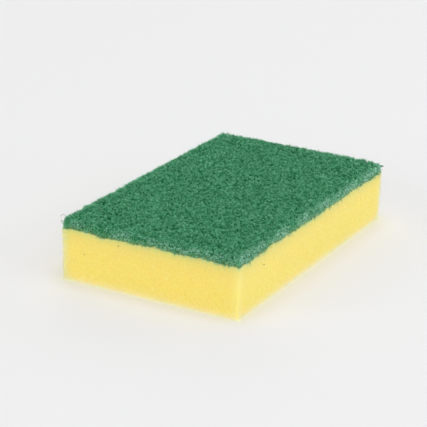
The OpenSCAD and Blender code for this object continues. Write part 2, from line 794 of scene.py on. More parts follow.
class Coat(Nodes):
    """The nodes of a material with a Principled shader."""

    def __init__(self, name: str, **numbers: float | tuple[float, ...]) -> None:
        """Starts the material.

        Args:
            name: The material's name.
            numbers: What the shader's own inputs are set to, by their names.
        """
        self.material = bpy.data.materials.new(name)
        self.material.use_nodes = True
        super().__init__(self.material.node_tree)
        self.shader = self.tree.nodes["Principled BSDF"]
        self.fill(self.shader, **numbers)

    def bump(self, height: Socket, depth: float) -> None:
        """Roughens the shader's normal.

        Args:
            height: A height from 0 to 1.
            depth: How high 1 is, in millimetres.
        """
        node = self.add("ShaderNodeBump")
        self.fill(node, Distance=depth * MM, Strength=1.0)
        self.link(height, node, "Height")
        self.link(node.outputs["Normal"], self.shader, "Normal")


@dataclass(frozen=True)
class FoamFinish:
    """Yellow fine-celled foam: matt, lit through a little, with small cells and edges painted paler as
    light.
    """

    body: Colour = (1.000, 0.800, 0.246)
    deep: Colour = (0.975, 0.725, 0.150)
    pale: Colour = (1.000, 0.880, 0.360)
    # Painted light: the foot is painted paler, for the light from the floor.
    foot: Colour = (0.945, 0.845, 0.550)
    # Painted light and shade: the frayed corners are paler, with less red, to even out how light falls
    # there.
    frayed_light_and_shade: Colour = (0.860, 0.800, 0.600)
    # Painted shade: multiplies red away near the frayed corners.
    corner_shade_tint: Colour = (0.870, 0.970, 1.000)
    shadowed: Colour = (0.900, 0.600, 0.080)
    # Dust, with painted shade under the pad's overhang and painted green light from the pad.
    dust_and_shade_tint: Colour = (0.465, 0.600, 0.220)
    smeared: Colour = (0.420, 0.800, 0.600)
    roughness: float = 0.95
    specular: float = 0.2
    grain: float = 0.75
    grain_range: Span = (0.3, 0.7)
    pore: float = 0.42
    pore_range: Span = (0.45, 0.75)
    pore_darkness: float = 0.5
    cell: float = 0.45
    cell_depth: float = 0.12
    spark_range: Span = (0.90, 0.96)
    glow_colours: Colour = (1.0, 0.75, 0.35)
    glow_radius: float = 2.0
    dense_range: Span = (0.0, 0.6)
    dense_glow: float = 0.02

    def material(self) -> bpy.types.Material:
        """Makes the material.

        Returns:
            The material, which reads the vertex numbers that FoamBlock.values gives.
        """
        coat = Coat(
            "foam",
            Roughness=self.roughness,
            Specular_IOR_Level=self.specular,
            Subsurface_Weight=1.0,
            Subsurface_Radius=self.glow_colours,
        )
        grain = coat.spread(coat.noise(self.grain, 2.0), self.grain_range)
        colour = coat.mix(grain, self.deep, self.body)
        pores = coat.spread(coat.noise(self.pore, 1.0), self.pore_range, (0.0, self.pore_darkness))
        colour = coat.mix(coat.math("MULTIPLY", pores, coat.value("open")), colour, self.shadowed)
        cells = coat.add("ShaderNodeTexVoronoi")
        coat.fill(cells, Scale=1 / (self.cell * MM))
        coat.link(coat.place, cells, "Vector")
        colour = coat.mix(coat.spread(cells.outputs["Color"], self.spark_range), colour, self.pale)
        # Painted light and shade: paler corners, foot and frayed corners, less red near the frayed
        # corners, and dust with shade and green light below the pad.
        colour = coat.tinted(colour, {"corner_highlight": self.pale, "foot": self.foot, "fray_light_and_shade": self.frayed_light_and_shade})
        colour = coat.tinted(colour, {"corner_shade": self.corner_shade_tint}, "MULTIPLY")
        colour = coat.tinted(colour, {"dust_and_shade": self.dust_and_shade_tint, "smear": self.smeared})
        coat.link(colour, coat.shader, "Base Color")
        glow = self.glow_radius * MM
        scale = coat.spread(coat.value("dense"), self.dense_range, (glow, self.dense_glow * glow))
        coat.link(scale, coat.shader, "Subsurface Scale")
        coat.bump(cells.outputs["Distance"], self.cell_depth)
        return coat.material


@dataclass(frozen=True)
class WebFinish:
    """Dark green nylon web, stiffened with a slightly glossy grit-filled resin.

    The shade goes from dark to body over its lower half and to light over its upper half.
    """

    name: str = "web"
    # Painted shade: deep fibres and the web's body go towards this dark colour.
    dark: Colour = (0.006, 0.120, 0.038)
    body: Colour = (0.109, 0.548, 0.262)
    light: Colour = (0.270, 0.760, 0.466)
    frosted: Colour = (0.560, 0.950, 0.800)
    warm: Colour = (0.620, 0.800, 0.260)
    roughness: float = 0.45
    clump: float = 0.30
    clump_range: Span = (0.3, 0.7)
    uneven: float = 0.60
    lit_range: Span = (0.1, 0.8)
    specular: Span = (0.0, 0.6)
    grit: float = 0.12
    grit_depth: float = 0.02

    def material(self) -> bpy.types.Material:
        """Makes the material.

        Returns:
            The material, which reads the vertex numbers shade, frost and warmth.
        """
        coat = Coat(self.name, Roughness=self.roughness)
        clumps = coat.noise(self.clump, 1.0)
        uneven = coat.spread(clumps, self.clump_range, (1 - self.uneven, 1 + self.uneven))
        shade = coat.math("MULTIPLY", coat.value("shade"), uneven)
        colour = coat.mix(coat.spread(shade, (0.0, 0.5)), self.dark, self.body)
        colour = coat.mix(coat.spread(shade, (0.5, 1.0)), colour, self.light)
        colour = coat.tinted(colour, {"frost": self.frosted, "warmth": self.warm})
        coat.link(colour, coat.shader, "Base Color")
        coat.link(coat.spread(shade, self.lit_range, self.specular), coat.shader, "Specular IOR Level")
        coat.bump(coat.noise(self.grit, 1.0), self.grit_depth)
        return coat.material


# The foam


@dataclass(frozen=True)
class Bond:
    """The line where the pad meets the foam, which wanders a little up and down.

    The foam stands up into the web by soak.
    """

    height: float
    lift: float = -0.02
    soak: float = 0.50
    wander: tuple[Roll, ...] = (Roll(0.15, 2.6, 5), Roll(0.22, 1.3, 6))
    swells: tuple[Swell, ...] = (
        Swell(-75, 37.5, 3.0, 0.60),
        Swell(-75, 29.5, 2.0, 0.55),
        Swell(-75, 24, 5.0, -0.55),
        Swell(-75, -3, 2.5, 0.55),
        Swell(-75, -12.5, 2.5, -0.30),
        Swell(-75, -29, 4.0, 0.25),
        Swell(-75, -35, 2.5, -0.45),
        Swell(-67, -45, 3.0, -0.60),
        Swell(-45, -45, 4.5, 0.95),
        Swell(-30, -45, 3.0, 0.45),
        Swell(10, -45, 60.0, 0.10),
        Swell(2, -45, 7.0, -0.55),
        Swell(25, -45, 4.0, -0.40),
        Swell(40, -45, 7.0, 0.45),
        Swell(66, -45, 9.0, -0.60),
        Swell(-20, 45, 9.0, 0.50),
        Swell(15, 45, 6.0, -0.50),
        Swell(55, 45, 7.0, 0.40),
        Swell(75, 20, 6.0, -0.50),
        Swell(75, -12, 5.0, 0.45),
    )

    def rise(self, points: Array) -> Array:
        """How far the bond lies above its middle height, over each point's place on the plan."""
        level = summed(self.wander, points * [1, 1, 0], self.lift)
        return level + summed(self.swells, points)


@dataclass(frozen=True)
class Fray:
    """An upright corner that the saw frayed, by its signs of x and y.

    Its painted light and shade, a paler colour with less red, falls off along the sides by reach;
    its painted shade, corner_shade, is from 0 to 1; and whiskers is how many loose strands stand
    out from it.
    """

    x: int
    y: int
    reach: float
    corner_shade: float
    whiskers: int


@dataclass(frozen=True)
class FoamBlock:
    """The yellow foam block: sawn sides with open cells, painted corner highlights and a soft lower edge.

    Faces of the ends, the sides and the underside are told apart by how far their normals point
    along one axis, from 0 to 1.
    """

    box: tuple[Vector, Vector]
    bond: Bond
    corner: float = 0.9
    lean: float = 0.4
    pits: tuple[Pits, ...] = (Pits(1.05, 0.62, 1.0, 11), Pits(0.63, 0.6, 0.5, 12))
    pit_depth: float = 0.19
    end_pit_depth: float = 0.27
    end_facing: float = 0.7
    side_facing: float = 0.9
    down_facing: float = 0.95
    least_level: float = 0.1
    foot_hold: float = 0.8
    bond_hold: float = 5.0
    flare: Fade = Fade(0.12, 2.0)
    toe: Fade = Fade(0.22, 0.8)
    frays: tuple[Fray, ...] = (
        Fray(-1, 1, 1.1, 1.0, 340),
        Fray(1, -1, 1.6, 0.3, 420),
        Fray(1, 1, 1.2, 0.5, 220),
    )
    # Painted shade near the frayed corners falls off over this reach.
    corner_shade_reach: float = 5.0
    # Painted highlight: the upright corners are painted paler, as light on and through them.
    corner_highlight: float = 0.45
    corner_highlight_reach: float = 2.9
    # This share paints the foot paler as light, and also makes the foam dense there.
    foot: Fade = Fade(1.0, 1.35)
    glue: Fade = Fade(1.0, 0.5)
    # Dust below the pad, with painted shade and painted green light from the pad.
    dust_and_shade: tuple[Fade, ...] = (Fade(0.12, 1.8), Fade(0.45, 4.2))
    smear: tuple[Fade, ...] = (Fade(0.10, 1.0), Fade(0.12, 0.4))
    end_band: float = 1.0
    side_open: float = 0.3
    finish: FoamFinish = FoamFinish()

    def slab(self) -> Slab:
        """The block before it is roughened."""
        low, high = self.box
        return Slab(
            length=(high.x - low.x) / MM,
            width=(high.y - low.y) / MM,
            low=low.z / MM,
            high=high.z / MM,
            corner=self.corner,
            low_round=0,
            high_round=0,
            lean=self.lean,
            cap_step=5,
        )

    def flared(self, height: Array) -> Array:
        """How far the sides stand out: at the top, stiff with glue, and at the foot, under load."""
        return self.flare.at(self.bond.height - height) + self.toe.at(height)

    def roughen(self, piece: Piece) -> Array:
        """Cuts pits into the surface and lets the top edge follow the bond.

        The two ends are the rougher. The sides' foot stays straight, as high as foot_hold, and
        the block follows the bond over the height of bond_hold below it.

        Args:
            piece: The block's object.

        Returns:
            The vertices' places before they were roughened.
        """
        points, normals = points_and_normals(piece)
        facing = np.abs(normals)
        depth = np.where(facing[:, 0] > self.end_facing, self.end_pit_depth, self.pit_depth)
        depth = depth * summed(self.pits, points)
        sides = facing[:, 2] < self.side_facing
        depth = np.where(sides, depth - depth.mean(), depth)
        underside = normals[:, 2] < -self.down_facing
        depth = depth * np.where(underside, 1, np.clip(points[:, 2] / self.foot_hold, 0, 1))
        moved = points - normals * depth[:, None]
        near_top = eased((points[:, 2] - self.bond.height + self.bond_hold) / self.bond_hold)
        moved[:, 2] += near_top * (self.bond.rise(points) + self.bond.soak)
        level = np.linalg.norm(normals[:, :2], axis=1)
        outward = normals[:, :2] / np.maximum(level, self.least_level)[:, None]
        moved[:, :2] += outward * (sides * self.flared(points[:, 2]))[:, None]
        move_points(piece, moved)
        return points

    def values(self, points: Array) -> dict[str, Array]:
        """Shares of painted light and shade, dust, smears and open cells.

        Painted highlights make the upright corners paler, and painted light the foot. The frayed
        corners take painted light and shade, paler with less red, and painted shade near them. Below
        the pad lies dust, with painted shade and painted green light from the pad. Smears are the pad's
        glue and colour, just below the bond. The foam lets least light through where it is dense:
        pressed down at the foot, and glued at the bond. Its cells are all open at the ends, as deep as
        end_band, and by side_open elsewhere, which sets how much painted shade lies in their pores.

        Args:
            points: The vertices' places before they were roughened.

        Returns:
            A number for each vertex, by the shares' names.
        """
        inset = self.slab().half() - np.abs(points[:, :2])
        from_corner = np.hypot(inset[:, 0], inset[:, 1])
        fray_light_and_shade, corner_shade = np.zeros((2, len(points)))
        for place in self.frays:
            here = (points[:, 0] * place.x > 0) & (points[:, 1] * place.y > 0)
            fray_light_and_shade += here * Fade(1.0, place.reach).at(from_corner)
            corner_shade += here * place.corner_shade * bell(from_corner, self.corner_shade_reach)
        # Painted light at the foot; the same share sets where the foam is dense.
        foot = self.foot.at(np.maximum(points[:, 2], 0))
        below_bond = self.bond.height - points[:, 2]
        return {
            "corner_highlight": self.corner_highlight * bell(from_corner, self.corner_highlight_reach),
            "foot": foot,
            "fray_light_and_shade": fray_light_and_shade,
            "corner_shade": corner_shade,
            "dust_and_shade": summed(self.dust_and_shade, below_bond),
            "smear": summed(self.smear, below_bond),
            "dense": np.maximum(foot, self.glue.at(np.maximum(below_bond, 0))),
            "open": np.where(inset[:, 0] < self.end_band, 1.0, self.side_open),
        }

    def build(self) -> Piece:
        """Returns:
            The block's object.
        """
        slab = self.slab()
        piece = slab.build("foam_block_surface", shown_cap_low=True)
        points = self.roughen(piece)
        crease(piece, len(slab.rim()))
        give_values(piece, self.values(points))
        piece.data.materials.append(self.finish.material())
        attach(piece, "root")
        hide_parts("foam_block")
        return piece


@dataclass(frozen=True)
class Crumb:
    """A crumb's place on the sharp-cornered block, its size, and its paleness from 0 to 1."""

    place: Place
    size: float
    pale: float


@dataclass(frozen=True)
class Crumbs:
    """Crumbs on the foam's sides: dark ones shed by the pad, and pale grains of foam.

    Beside the listed ones, a count of pale grains lie anywhere on the sides that is further than
    from_foot above the floor and from_top below the pad.
    """

    block: FoamBlock
    listed: tuple[Crumb, ...] = (
        Crumb((-75, 15.4, 22.1), 0.74, 0.0),
        Crumb((-75, 33.2, 14.2), 0.46, 0.1),
        Crumb((-52.2, -45, 18.5), 0.74, 0.0),
        Crumb((-75, -36.5, 21.8), 0.34, 1.0),
        Crumb((-53.8, -45, 14.8), 0.34, 1.0),
        Crumb((-44.8, -45, 10.3), 0.32, 1.0),
    )
    count: int = 170
    size: Span = (0.14, 0.26)
    lumpiness: Span = (0.7, 1.3)
    from_foot: float = 1.0
    from_top: float = 2.0
    stand_out: float = 0.20
    seed: int = 71
    green: Colour = (0.030, 0.040, 0.014)
    cream: Colour = (1.000, 0.950, 0.720)
    roughness: float = 0.8

    def build(self) -> Piece:
        """Makes the crumbs, each a rough lump of eight triangles half sunk in the foam.

        Returns:
            The crumbs' object.
        """
        rng = np.random.default_rng(self.seed)
        slab = self.block.slab()
        half = slab.half()
        on_long = rng.uniform(0, half.sum(), self.count) < half[0]
        side = rng.choice([-1.0, 1.0], self.count)
        along = rng.uniform(-1, 1, self.count)
        plan = np.where(on_long[:, None], np.stack([along, side], 1), np.stack([side, along], 1)) * half
        height = rng.uniform(self.from_foot, slab.high - self.from_top, self.count)
        listed = self.listed
        place = np.concatenate([[crumb.place for crumb in listed], np.column_stack([plan, height])])
        size = np.concatenate([[c.size for c in listed], rng.uniform(*self.size, self.count)])
        pale = np.concatenate([[crumb.pale for crumb in listed], np.ones(self.count)])
        inset = slab.leaning(place[:, 2]) - self.block.flared(place[:, 2]) - self.stand_out
        on_side = np.abs(place[:, :2]) > half - TOUCHING
        place[:, :2] -= np.sign(place[:, :2]) * on_side * inset[:, None]

        lump = np.array([[1, 0, 0], [0, 1, 0], [-1, 0, 0], [0, -1, 0], [0, 0, 1], [0, 0, -1]])
        radius = size[:, None, None] / 2 * rng.uniform(*self.lumpiness, (len(size), 6, 1))
        points = (place[:, None, :] + lump * radius).reshape(-1, 3)
        here = np.arange(4)
        after = (here + 1) % 4
        upper = np.stack([here, after, np.full(4, 4)], 1)
        lower = np.stack([after, here, np.full(4, 5)], 1)
        faces = np.concatenate([upper, lower]) + 6 * np.arange(len(size))[:, None, None]
        piece = write_mesh("foam_crumbs", points, [faces.reshape(-1, 3)])
        give_values(piece, {"pale": np.repeat(pale, 6)})
        coat = Coat("crumb", Roughness=self.roughness)
        coat.link(coat.mix(coat.value("pale"), self.green, self.cream), coat.shader, "Base Color")
        piece.data.materials.append(coat.material)
        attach(piece, "root")
        return piece


@dataclass(frozen=True)
class Whiskers:
    """Torn cell walls, which stand off the foam's frayed corners as short pale hairs.

    They start up to about spread from the corner, sunk in by root, and none hangs lower than
    lowest. Each is a path of three points.
    """

    block: FoamBlock
    spread: float = 0.7
    root: float = 0.3
    from_foot: float = 0.4
    lowest: float = 0.2
    scatter: float = 0.4
    bend: float = 0.06
    length: Span = (0.3, 1.25)
    radius: Span = (0.03, 0.06)
    taper: Place = (1.2, 1.0, 0.6)
    seed: int = 73
    colour: Colour = (1.000, 0.940, 0.540)
    roughness: float = 0.9

    def build(self) -> Piece:
        """Makes the whiskers.

        Returns:
            The whiskers' object.
        """
        rng = np.random.default_rng(self.seed)
        slab = self.block.slab()
        frays = self.block.frays
        counts = [fray_light_and_shade.whiskers for fray_light_and_shade in frays]
        corner = np.array([(fray_light_and_shade.x, fray_light_and_shade.y) for fray_light_and_shade in frays]).repeat(counts, 0)
        n = len(corner)
        height = rng.uniform(self.from_foot, slab.high, n)
        inset = slab.leaning(height) + self.root
        along = rng.exponential(self.spread, n)[:, None] * np.eye(2)[rng.integers(0, 2, n)]
        root = np.column_stack([corner * (slab.half() - inset[:, None] - along), height])
        away = np.column_stack([corner / np.sqrt(2), np.zeros(n)])
        away = away + rng.normal(0, self.scatter, (n, 3))
        length = rng.uniform(*self.length, n)[:, None, None]
        paths = root[:, None] + away[:, None] * length * np.linspace(0, 1, 3)[:, None]
        paths[:, 1:] += rng.normal(0, self.bend, (n, 2, 3))
        paths[:, :, 2] = np.maximum(paths[:, :, 2], self.lowest)
        other = np.broadcast_to(rng.normal(size=(n, 1, 3)), paths.shape)
        radius = rng.uniform(*self.radius, n)[:, None] * self.taper
        piece = write_mesh("foam_whiskers", *tubes(paths, other, radius))
        coat = Coat("whisker", Base_Color=self.colour, Roughness=self.roughness)
        piece.data.materials.append(coat.material)
        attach(piece, "root")
        return piece


# The scouring pad


class Weave(Enum):
    """How a fibre of the web runs."""

    RUNNER = "runners"
    LOOP = "loops"
    STUB = "stubs"


@dataclass(frozen=True)
class Strands:
    """One batch of fibres in the web.

    A runner lies along deep in the web, a loop comes up and goes back, and a stub ends at the top.
    Bend, wobble and skew are spreads of angles in radians: of a fibre's steady turn from ring to
    ring, of its chance turns, and of where its crest lies. Swing says how much of a quarter turn
    it dives by at its ends, and root_power how late a stub does. Knots says how the radius
    varies, speckle how the shade does, and whiteness how much of the frost each fibre takes.
    """

    weave: Weave
    count: int
    length: Span
    crest: Span
    dive: Span
    shade: Span
    seed: int
    rings: int = 4
    radius: Span = (0.09, 0.145)
    knots: Span = (0.85, 1.15)
    bend: float = 0.35
    wobble: float = 0.25
    swing: Span = (0.85, 1.25)
    skew: float = 0.2
    root_power: float = 1.2
    speckle: float = 0.20
    whiteness: Span = (-0.6, 1.0)


@dataclass(frozen=True)
class Ends:
    """One batch of short fibre ends round the pad's rim, each a path of three points.

    Down says where they stand, from 0 where the shoulder begins to 1 at the bond. Tufting varies
    their length over patches of about tuft, inside tuft_range, and curl is how much droop takes
    off their reach. Whiteness says how much of the frost each takes. Along an end the radius, the
    shade and the frost go by taper, painted_shade_along and whitening; the shade is painted
    darker towards the root, as shade deep in the web.
    """

    name: str
    count: int
    down: Span
    length: Span
    shade: Span
    seed: int
    root_depth: float = 0.6
    scatter: float = 0.55
    droop: float = 0.0
    tufting: float = 0.0
    frost: float = 1.0
    radius: Span = (0.09, 0.15)
    tuft: float = 1.5
    tuft_range: Span = (0.3, 2.0)
    curl: float = 0.4
    bend: float = 0.05
    whiteness: Span = (-0.4, 1.2)
    taper: Place = (1.0, 1.0, 0.8)
    painted_shade_along: Place = (0.2, 0.7, 1.0)
    whitening: Place = (0.0, 0.5, 1.0)


@dataclass(frozen=True)
class ScouringPad:
    """The scouring pad: a web body painted dark as shade, under layers of bent, tangled fibres.

    Fibres that run down the cut sides turn back up to thinning above the bond. Deeper fibres are
    painted darker as shade: their shade falls to none over painted_shade_span below
    painted_shade_from. The frost lies within about frost_in of the edge, and grows from frost_top
    of itself at the top to all of it at frost_down below.
    """

    box: tuple[Vector, Vector]
    bond: Bond
    corner: float = 1.8
    shoulder: float = 1.6
    body_depth: float = 1.5
    side_depth: float = 0.7
    body_sink: float = 0.2
    body_round: float = 1.2
    body_lumps: tuple[Roll, ...] = (Roll(0.20, 3.2, 21), Roll(0.14, 1.4, 22))
    body_lump_height: float = 1.5
    body_painted_shade: float = 0.06
    body_hollow_shade: float = 0.2
    thinning: float = 1.3
    thinning_power: float = 1.5
    painted_shade_from: float = 0.3
    painted_shade_span: float = 1.2
    batches: tuple[Strands, ...] = (
        Strands(Weave.RUNNER, 500, (6, 10), (0.8, 1.6), (0.0, 0.3), (0.10, 0.50), 31, rings=7),
        Strands(Weave.LOOP, 8500, (1.6, 3.0), (0.35, 1.0), (0.5, 1.1), (0.22, 0.78), 32),
        Strands(Weave.LOOP, 8500, (1.4, 2.8), (0.00, 0.5), (0.5, 1.1), (0.28, 0.80), 33),
        Strands(Weave.STUB, 12500, (0.7, 2.1), (0.20, 0.9), (0.4, 1.2), (0.18, 0.76), 34, rings=3),
        Strands(Weave.STUB, 12500, (0.7, 2.0), (-0.25, 0.4), (0.5, 1.3), (0.24, 0.82), 35, rings=3),
    )
    rim: tuple[Ends, ...] = (
        Ends("web_cut_ends", 4800, (0.25, 0.97), (0.6, 1.1), (0.3, 1.0), 41),
        Ends("web_hem", 2100, (0.83, 0.95), (0.5, 1.2), (0.05, 0.75), 42, 0.4, 0.8, 0.6, 0.3, 0.35),
        Ends("web_fuzz", 1000, (0.0, 0.5), (0.9, 1.7), (0.2, 0.9), 43, scatter=0.8, radius=(0.05, 0.09)),
    )
    follow: float = 0.8
    top: tuple[Roll | Swell, ...] = (
        Roll(0.10, 2.4, 51),
        Roll(0.12, 7.0, 52),
        Swell(75, -45, 7.0, -0.8),
        Swell(-75, 45, 4.0, -0.3),
    )
    frost_in: float = 1.9
    frost_down: float = 1.8
    frost_top: float = 0.10
    long_side_frost: float = 2.1
    frost_mean: float = 0.6
    frost_patches: tuple[Roll, ...] = (Roll(0.30, 16, 61), Roll(0.25, 4, 62))
    # The first swell takes frost away at the -X, +Y corner: painted shade there.
    frosts: tuple[Swell, ...] = (
        Swell(-75, 42, 8.0, -0.5),
        Swell(-75, -45, 7.0, 0.9),
        Swell(75, -45, 7.0, 0.9),
    )
    warmth: Fade = Fade(0.6, 0.9)
    finish: WebFinish = WebFinish()

    def skin(self) -> Skin:
        """The pad's outer skin."""
        low, high = self.box
        return Skin(
            length=2 * max(high.x, -low.x) / MM,
            width=2 * max(high.y, -low.y) / MM,
            top=high.z / MM,
            corner=self.corner,
            shoulder=self.shoulder,
            drop=(high.z - low.z) / MM,
        )

    def sagged(self, points: Array) -> Array:
        """Lets the pad's lower part follow the bond, and its upper part its own uneven top.

        The one gives way to the other over the lowest part of the height, by follow.

        Args:
            points: Places on the level, true-sided pad.

        Returns:
            The same places, moved up or down.
        """
        skin = self.skin()
        low = self.box[0].z / MM
        share = eased((points[:, 2] - low) / (self.follow * skin.drop))
        top = summed(self.top, points * [1, 1, 0])
        moved = points.copy()
        moved[:, 2] += (1 - share) * self.bond.rise(points) + share * top
        return moved

    def frosting(self, points: Array) -> Array:
        """How pale the cut has frosted the fibres, in patches on the sides.

        The long sides are frosted most, and the shoulders least.

        Args:
            points: Places on the pad.

        Returns:
            The frost at each, from 0, which may pass 1.
        """
        skin = self.skin()
        inset = skin.half() - np.abs(points[:, :2])
        edge = bell(np.maximum(inset.min(1), 0), self.frost_in)
        down = eased((skin.top - points[:, 2]) / self.frost_down)
        edge *= self.frost_top + (1 - self.frost_top) * down
        edge *= np.where(inset[:, 1] < inset[:, 0], self.long_side_frost, 1.0)
        patches = summed(self.frost_patches, points, self.frost_mean) + summed(self.frosts, points)
        return edge * eased(patches)

    def body(self) -> Piece:
        """The web's inside, which the fibres lie over, painted dark as shade and darker in its hollows.

        Returns:
            The body's object.
        """
        skin = self.skin()
        slab = Slab(
            length=skin.length - 2 * self.side_depth,
            width=skin.width - 2 * self.side_depth,
            low=self.box[0].z / MM + self.bond.soak - self.body_sink,
            high=skin.top - self.body_depth,
            corner=self.corner - self.side_depth,
            low_round=0,
            high_round=self.body_round,
            cell=0.85,
            cap_step=2,
        )
        piece = slab.build("web_body", shown_cap_low=False)
        points, normals = points_and_normals(piece)
        lump = summed(self.body_lumps, points)
        on_top = eased((points[:, 2] - slab.low) / self.body_lump_height)
        move_points(piece, self.sagged(points + normals * (lump * on_top)[:, None]))
        # Painted shade: the body is dark, and darker in the hollows between its lumps.
        self.dress(piece, self.body_painted_shade + self.body_hollow_shade * lump, np.zeros(len(points)))
        return piece

    def dress(self, piece: Piece, shade: Array, frost: Array) -> None:
        """Gives a piece of the web its vertex numbers, its material and its place in the frame.

        Light that comes up through the foam and the glue warms the web's lowest millimetre.

        Args:
            piece: The piece.
            shade: From dark, 0, to light, 1, for each vertex.
            frost: How frosted each vertex is, from 0 to 1.
        """
        points, _ = points_and_normals(piece)
        above = np.maximum(points[:, 2] - self.bond.height - self.bond.rise(points), 0)
        give_values(piece, {
            "shade": np.clip(shade, 0, 1),
            "frost": np.clip(frost, 0, 1),
            "warmth": self.warmth.at(above),
        })
        material = bpy.data.materials.get(self.finish.name) or self.finish.material()
        piece.data.materials.append(material)
        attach(piece, "root")
        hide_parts("scouring_pad")

    def strands(self, batch: Strands, number: int) -> Piece:
        """Makes one batch of fibres.

        A fibre starts anywhere on the flat sheet in any direction and bends steadily, with small
        random changes of direction. Its depth is its crest's, plus its dive times a share. For a
        stub the share falls from 1 at the root to 0 at the tip. For the others it is the square of
        the sine of an angle that grows from the fibre's middle to about a quarter turn at its
        ends. The sheet is then rolled up onto the pad.

        Args:
            batch: The batch's sizes.
            number: The batch's number, for its name.

        Returns:
            The fibres' object.
        """
        rng = np.random.default_rng(batch.seed)
        skin = self.skin()
        n, m = batch.count, batch.rings
        reach = skin.core() + skin.overhang()
        start = rng.uniform(-reach, reach, (n, 2))
        length = rng.uniform(*batch.length, n)
        heading = rng.uniform(0, 2 * np.pi, n)[:, None]
        bend = rng.normal(0, batch.bend, n)[:, None] * np.arange(m)
        angle = heading + bend + np.cumsum(rng.normal(0, batch.wobble, (n, m)), 1)
        step = (length / (m - 1))[:, None, None] * np.stack([np.cos(angle), np.sin(angle)], -1)
        flat = start[:, None, :] + np.cumsum(step, 1) - step.sum(1, keepdims=True) / 2
        half = np.linspace(-1, 1, m)
        swing = rng.uniform(*batch.swing, n)[:, None] * np.pi / 2 * half
        swing = swing + rng.normal(0, batch.skew, n)[:, None]
        crest = rng.uniform(*batch.crest, n)[:, None]
        stub = batch.weave is Weave.STUB
        share = ((1 - half) / 2) ** batch.root_power if stub else np.sin(swing) ** 2
        depth = crest + rng.uniform(*batch.dive, n)[:, None] * share
        spare = self.thinning * rng.uniform(0, 1, (n, 1)) ** self.thinning_power
        paths, outward = skin.lay(flat, depth, spare)
        places = self.sagged(paths.reshape(-1, 3))
        radius = rng.uniform(*batch.radius, n)[:, None] * rng.uniform(*batch.knots, (n, m))
        made = tubes(places.reshape(n, m, 3), outward, radius)
        piece = write_mesh(f"web_{batch.weave.value}_{number}", *made)
        own = rng.uniform(*batch.shade, n)[:, None] + rng.normal(0, batch.speckle, (n, m))
        # Painted shade: fibres are darker the deeper they lie.
        shade = own * np.clip(1 - (depth - self.painted_shade_from) / self.painted_shade_span, 0, 1)
        whiteness = rng.uniform(*batch.whiteness, n)[:, None]
        frost = self.frosting(places).reshape(n, m) * whiteness
        self.dress(piece, np.repeat(shade, 3), np.repeat(frost, 3))
        return piece

    def rim_places(self, count: int, rng: np.random.Generator) -> tuple[Array, Array]:
        """Random places round the rectangle of the corner circles' centres.

        Each corner gets its share by the length of its arc, in directions all round the arc.

        Args:
            count: How many places.
            rng: Gives the random numbers.

        Returns:
            The places on the flat sheet, and the directions straight out from there.
        """
        skin = self.skin()
        core = skin.core()
        corners = np.concatenate([[0], np.cumsum(2 * core[[0, 1, 0, 1]])])
        run = rng.uniform(0, corners[-1], count)
        flat = np.stack([
            np.interp(run, corners, np.array([-1, 1, 1, -1, -1]) * core[0]),
            np.interp(run, corners, np.array([-1, -1, 1, 1, -1]) * core[1]),
        ], -1)
        way = np.sign(flat) * (np.abs(flat) > core - TOUCHING)
        arcs = 2 * np.pi * skin.corner
        turned = rng.uniform(0, 1, count) < arcs / (arcs + corners[-1])
        turn = rng.uniform(0, np.pi / 2, count)
        quarter = rng.choice([-1.0, 1.0], (count, 2))
        flat[turned] = (quarter * core)[turned]
        way[turned] = (quarter * np.stack([np.cos(turn), np.sin(turn)], -1))[turned]
        return flat, way

    def ends(self, batch: Ends) -> Piece:
        """Makes cut or broken ends of fibres, which bristle from the sides and the shoulders.

        Each is a short stub, painted dark at its root as shade, that leans out at random and bends down
        by droop.
        They are longer in some places and shorter in others, by tufting.

        Args:
            batch: The ends' sizes.

        Returns:
            The ends' object.
        """
        rng = np.random.default_rng(batch.seed)
        skin = self.skin()
        n = batch.count
        flat, way = self.rim_places(n, rng)
        down = skin.overhang() * rng.uniform(*batch.down, n)
        root, outward = skin.lay(flat + way * down[:, None], np.full(n, batch.root_depth))
        lean = outward + rng.normal(0, batch.scatter, (n, 3))
        lean /= np.linalg.norm(lean, axis=1, keepdims=True)
        tufts = np.clip(1 + Roll(batch.tufting, batch.tuft, batch.seed).at(root), *batch.tuft_range)
        length = (rng.uniform(*batch.length, n) * tufts)[:, None]
        steps = np.linspace(0, 1, 3)
        out = length * steps * (1 - batch.curl * batch.droop * steps)
        paths = root[:, None, :] + lean[:, None, :] * out[..., None]
        paths = paths + rng.normal(0, batch.bend, paths.shape)
        paths[:, :, 2] -= batch.droop * length * steps**2
        places = self.sagged(paths.reshape(-1, 3))
        other = np.broadcast_to(rng.normal(size=(n, 1, 3)), paths.shape)
        radius = rng.uniform(*batch.radius, n)[:, None] * batch.taper
        piece = write_mesh(batch.name, *tubes(places.reshape(n, 3, 3), other, radius))
        # Painted shade: each end is darker towards its root.
        shade = rng.uniform(*batch.shade, n)[:, None] * batch.painted_shade_along
        whiteness = rng.uniform(*batch.whiteness, n)[:, None] * batch.whitening
        frost = self.frosting(places).reshape(n, 3) * whiteness * batch.frost
        self.dress(piece, np.repeat(shade, 3), np.repeat(frost, 3))
        return piece


@dataclass(frozen=True)
class Stray:
    """A loose hair of the web: a Bezier curve of four points, in millimetres."""

    points: tuple[Place, Place, Place, Place]
    radius: float

    def path(self, rings: int) -> Array:
        """Walks along the curve.

        Args:
            rings: How many points are wanted.

        Returns:
            The points.
        """
        t = np.linspace(0, 1, rings)[:, None]
        a, b, c, d = np.array(self.points)
        return (1 - t) ** 3 * a + 3 * (1 - t) ** 2 * t * b + 3 * (1 - t) * t**2 * c + t**3 * d


